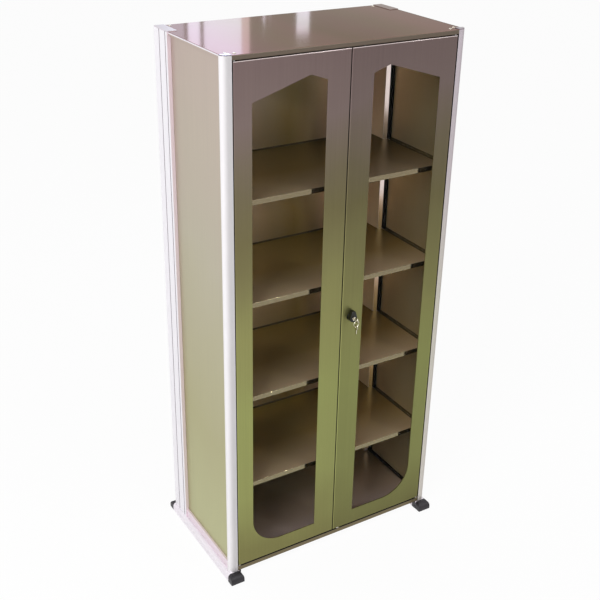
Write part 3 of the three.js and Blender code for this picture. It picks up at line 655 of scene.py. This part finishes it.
def foot_skirt(side):
    """The thin skirt of a front foot cap along the inner side of its rail."""
    low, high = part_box(f"foot_rail_{side}")
    inner = inner_face(f"foot_rail_{side}") - CONTACT
    skin, reach, lead, tail, foot, head = 0.0014, 0.019, 0.001, 0.002, 0.0005, 0.0008
    front = low.y + TRIM_GAP
    profile = [
        (inner, front), (inner - skin, front + lead), (inner - skin, front + reach - tail), (inner, front + reach)]
    extruded(f"foot_skirt_{side}", mirrored(profile, side), "z", foot, high.z - head, finish="cap")


def shelf_shadow_bead(level):
    """A dark hollow bead along the rear edge of a shelf, up the back panel: a painted shadow in the joint."""
    size, hollow, steps = 0.0048, 0.0031, 5
    shelf_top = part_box(f"shelf_{level}")[1].z + CONTACT
    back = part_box("back_panel")[0].y - CONTACT
    end = inner_face("rear_column_right") - 3 * TRIM_GAP
    turns = [i * math.pi / 2 / steps for i in range(steps + 1)]
    profile = [(back, shelf_top)]
    profile += [(back - size + hollow * math.sin(turn), shelf_top + hollow * (1 - math.cos(turn))) for turn in turns]
    profile.append((back, shelf_top + size))
    extruded(f"shelf_shadow_bead_{level}", profile, "x", -end, end, finish="painted_shadow_fill")


def shelf_side_shadow_strip(level, side):
    """A dark angle that fills the gap between a shelf and a side panel, on top of the bearer: a painted shadow in the
    gap.
    """
    rise, skin, bevel, lead, tail = 0.010, 0.0024, 0.002, 0.004, 0.0275
    shelf_low, shelf_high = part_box(f"shelf_{level}")
    bearer_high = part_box(f"shelf_bearer_{level}_{side}")[1]
    inner = shelf_high.x + TRIM_GAP
    outer = inner_face(f"side_panel_{side}") - TRIM_GAP
    foot, top = bearer_high.z + TRIM_GAP, shelf_high.z - TRIM_GAP
    profile = [
        (inner, foot), (outer, foot), (outer, top + rise), (outer - skin * EASE, top + rise),
        (outer - skin, top + rise - bevel), (outer - skin * (2 - EASE), top + bevel), (outer - skin * 2, top),
        (inner, top)]
    ends = shelf_low.y + lead, bearer_high.y - tail
    extruded(f"shelf_shadow_strip_{level}_{side}", mirrored(profile, side), "y", *ends, finish="painted_shadow_fill")


def domed_head(name, place, normal, radius, finish="nickel"):
    """A low domed head with a dip in the middle, on the frame."""
    height, rim, dip, around, rings = 0.0018, 0.35, 0.45, 20, 5
    bm = bmesh.new()
    turns = [i * math.pi / 2 / rings for i in range(rings)]
    profile = [(radius, 0.0)]
    profile += [(radius * math.cos(turn), height * (rim + (1 - rim) * math.sin(turn))) for turn in turns]
    loops = [[bm.verts.new((r * math.cos(2 * math.pi * i / around), r * math.sin(2 * math.pi * i / around), z))
              for i in range(around)] for r, z in profile]
    for low, high in zip(loops, loops[1:]):
        for i in range(around):
            j = (i + 1) % around
            bm.faces.new((low[i], low[j], high[j], high[i]))
    recess = bm.verts.new((0, 0, height * dip))
    for i in range(around):
        bm.faces.new((loops[-1][i], loops[-1][(i + 1) % around], recess))
    bm.faces.new(reversed(loops[0]))
    turn = Vector(UP).rotation_difference(Vector(normal)).to_matrix().to_4x4()
    bmesh.ops.transform(bm, matrix=Matrix.Translation(place) @ turn, verts=bm.verts)
    bmesh.ops.recalc_face_normals(bm, faces=bm.faces)
    shade(bm, sharp=40)
    new_piece(name, bm, finish, "frame")


def top_screws():
    """Screws on the top sheet beside the corner posts."""
    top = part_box("top_panel")[1].z + SEAT
    for side, sign in SIDES.items():
        for number, (x, y) in enumerate(SCREW_SPOTS, 1):
            domed_head(f"top_screw_{number}_{side}", (sign * x, y, top), UP, radius=0.0055)


def back_rivets():
    """Rivets round the back panel: a row up each column, and some between them."""
    inset, end, gaps, margin, across = 0.016, 0.06, 6, 0.03, (-0.2, 0.0, 0.2)
    low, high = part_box("back_panel")
    row = inner_face("rear_column_right") - inset
    heights = [low.z + end + i * (high.z - low.z - 2 * end) / gaps for i in range(gaps + 1)]
    spots = [(sign * row, z) for sign in SIDES.values() for z in heights]
    spots += [(x, z) for x in across for z in (low.z + margin, high.z - margin)]
    for number, (x, z) in enumerate(spots, 1):
        place = (x, high.y + SEAT, z)
        domed_head(f"back_rivet_{number}", place, REAR, radius=0.005, finish="zinc")


for side in SIDES:
    corner_seal(side)
    corner_strip(side)
    foot_skirt(side)
for level in LEVELS:
    shelf_shadow_bead(level)
    for side in SIDES:
        shelf_side_shadow_strip(level, side)
top_screws()
back_rivets()
sill_shade_strips()
meeting_shade_strip()


# Stage: floor, light and camera
FLOOR_HALF, FLOOR_GLOW = 14.0, 0.94
WORLD_LEVELS = 0.55, 1.0  # for light that bounces, and for what is seen
LILAC, ROSE = (0.58, 0.73, 1.0), (0.75, 0.7, 0.85)
LIT_POINT = 0, 0, 1.0  # the soft boxes look here
STRIP_DISTANCE, STRIP_FOOT = 4.0, 2.2
STRIPS = [  # left, right, top, level and colour
    (1.20, 1.39, 3.3, 1.6, LILAC), (1.42, 1.52, 3.3, 4.2, LILAC), (1.55, 1.87, 3.3, 3.9, LILAC),
    (1.87, 1.94, 3.3, 1.9, ROSE), (2.06, 2.075, 2.82, 5.0, LILAC), (2.11, 2.125, 2.75, 3.5, LILAC),
    (2.36, 2.48, 2.94, 4.2, LILAC)]
CAMERA_PLACE = -1.75795, -2.81232, 2.62374
CAMERA_TURN = -31.682, 26.574, 1.193  # yaw, pitch and roll in degrees
SENSOR, LENS = 36.0, 59.5  # in millimetres
CLIP_START, CLIP_END = 0.05, 100.0


def make_floor():
    """A pale floor that glows white where it is seen, so that it has no horizon, and keeps a faint shadow."""
    bm = bmesh.new()
    half = FLOOR_HALF
    corners = [(-half, -half, 0), (half, -half, 0), (half, half, 0), (-half, half, 0)]
    bm.faces.new([bm.verts.new(corner) for corner in corners])
    mesh = bpy.data.meshes.new("floor")
    bm.to_mesh(mesh)
    bm.free()
    floor = bpy.data.objects.new("floor", mesh)
    bpy.context.scene.collection.objects.link(floor)
    material, tree, shader, output = principled(
        "pale_floor", Base_Color=(0.9, 0.9, 0.9, 1.0), Roughness=0.9, Specular_IOR_Level=0.1)
    seen = seen_rays(tree)
    glow = add(tree, "Emission", {"Color": (1, 1, 1, 1), "Strength": 1.0})
    share = spread(tree, seen, 0.0, 1.0, 0.0, FLOOR_GLOW)
    mixed = add(tree, "MixShader", {0: share, 1: shader.outputs["BSDF"], 2: glow.outputs["Emission"]})
    tree.links.new(mixed.outputs["Shader"], output.inputs["Surface"])
    mesh.materials.append(material)


def seen_rays(tree):
    """One for rays from the camera, from mirrors and through glass, and nought for light that bounces."""
    path = add(tree, "LightPath")
    direct = {0: path.outputs["Is Camera Ray"], 1: path.outputs["Is Glossy Ray"]}
    total = add(tree, "Math", direct, operation="MAXIMUM").outputs["Value"]
    inputs = {0: total, 1: path.outputs["Is Transmission Ray"]}
    return add(tree, "Math", inputs, operation="MAXIMUM").outputs["Value"]


def make_world():
    world = bpy.data.worlds.new("studio")
    world.use_nodes = True
    tree = world.node_tree
    tree.nodes.clear()
    strength = spread(tree, seen_rays(tree), 0.0, 1.0, *WORLD_LEVELS)
    sky = add(tree, "Background", {"Color": (1, 1, 1, 1), "Strength": strength})
    add(tree, "OutputWorld", {"Surface": sky.outputs["Background"]})
    bpy.context.scene.world = world


def soft_box(name, place, target, width, height, power, colour=(1, 1, 1)):
    lamp = bpy.data.lights.new(name, "AREA")
    lamp.shape = "RECTANGLE"
    lamp.size = width
    lamp.size_y = height
    lamp.energy = power
    lamp.color = colour
    holder = bpy.data.objects.new(name, lamp)
    holder.visible_camera = False
    holder.location = place
    holder.rotation_euler = (Vector(target) - Vector(place)).to_track_quat("-Z", "Y").to_euler()
    bpy.context.scene.collection.objects.link(holder)


def make_camera():
    """The photo's view point, fitted to the cabinet's stated sizes and to its edges in the photo."""
    yaw, pitch, roll = (math.radians(angle) for angle in CAMERA_TURN)
    back = Vector((math.sin(yaw) * math.cos(pitch), -math.cos(yaw) * math.cos(pitch), math.sin(pitch)))
    level = back.cross(Vector((0, 0, -1))).normalized()
    above = level.cross(-back)
    right = math.cos(roll) * level + math.sin(roll) * above
    up = math.cos(roll) * above - math.sin(roll) * level
    data = bpy.data.cameras.new("camera")
    data.sensor_width = SENSOR
    data.lens = LENS
    data.clip_start = CLIP_START
    data.clip_end = CLIP_END
    camera = bpy.data.objects.new("camera", data)
    turn = Matrix((right, up, back)).transposed()
    camera.matrix_world = Matrix.Translation(CAMERA_PLACE) @ turn.to_4x4()
    bpy.context.scene.collection.objects.link(camera)
    bpy.context.scene.camera = camera


def tall_strip(name, left, right, top, level, colour):
    """An upright lamp behind the cabinet, whose image is a band in the polished top sheet."""
    width, height = right - left, top - STRIP_FOOT
    middle = Vector(((left + right) / 2, STRIP_DISTANCE, (STRIP_FOOT + top) / 2))
    front = middle + Vector(FRONT)
    soft_box(name, middle, front, width, height, level * math.pi * width * height, colour)


make_floor()
make_world()
for number, strip in enumerate(STRIPS, 1):
    tall_strip(f"strip_light_{number}", *strip)
soft_box("key_light", (-4.3, -2.5, 4.3), LIT_POINT, width=2.6, height=2.6, power=195)
soft_box("fill_light", (2.2, -4.6, 3.6), LIT_POINT, width=0.3, height=0.3, power=42)
make_camera()
bpy.context.scene.view_settings.view_transform = "Standard"
